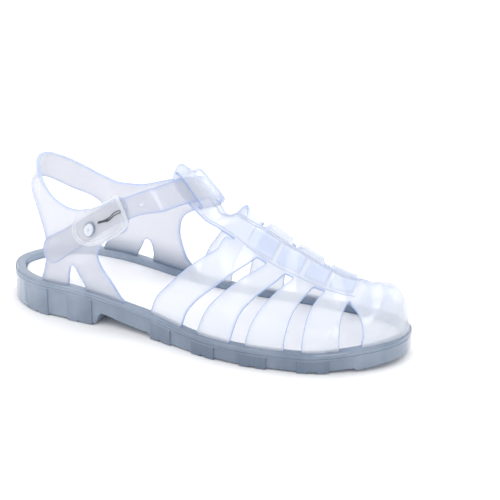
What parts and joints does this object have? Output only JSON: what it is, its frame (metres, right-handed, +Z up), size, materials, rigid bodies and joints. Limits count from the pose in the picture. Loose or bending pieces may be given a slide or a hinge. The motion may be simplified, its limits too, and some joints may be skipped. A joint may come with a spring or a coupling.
{
  "type": "jelly sandal",
  "caption": "Closed-toe moulded jelly sandal with a caged vamp, plaited T-bar, ankle strap through a keeper, slingback counter and a side buckle plate.",
  "frame": {"origin": "on the floor, at the bottom centre of the shoe's box", "axes": "+X to the toe, +Y to the inner (left) side of this right shoe, +Z up"},
  "size_m": [0.258, 0.0878, 0.0993],
  "materials": {
    "clear_sole": "clear soft PVC, slate blue in its thickness, glossy",
    "white_footbed": "white, satin",
    "clear_upper": "clear soft PVC, milky, glossy",
    "clear_counter": "clear soft PVC, milky, glossy",
    "clear_buckle": "clear hard plastic, glossy",
    "white_stud": "milky plastic, glossy",
    "grey_metal": "dark grey wire, satin"
  },
  "bodies": {
    "root": {"outsole": "clear_sole", "insole": "white_footbed", "upper_cage": "clear_upper", "heel_counter": "clear_counter", "buckle_frame": "clear_buckle", "buckle_stud": "white_stud", "buckle_prong": "grey_metal"}
  },
  "joints": []
}
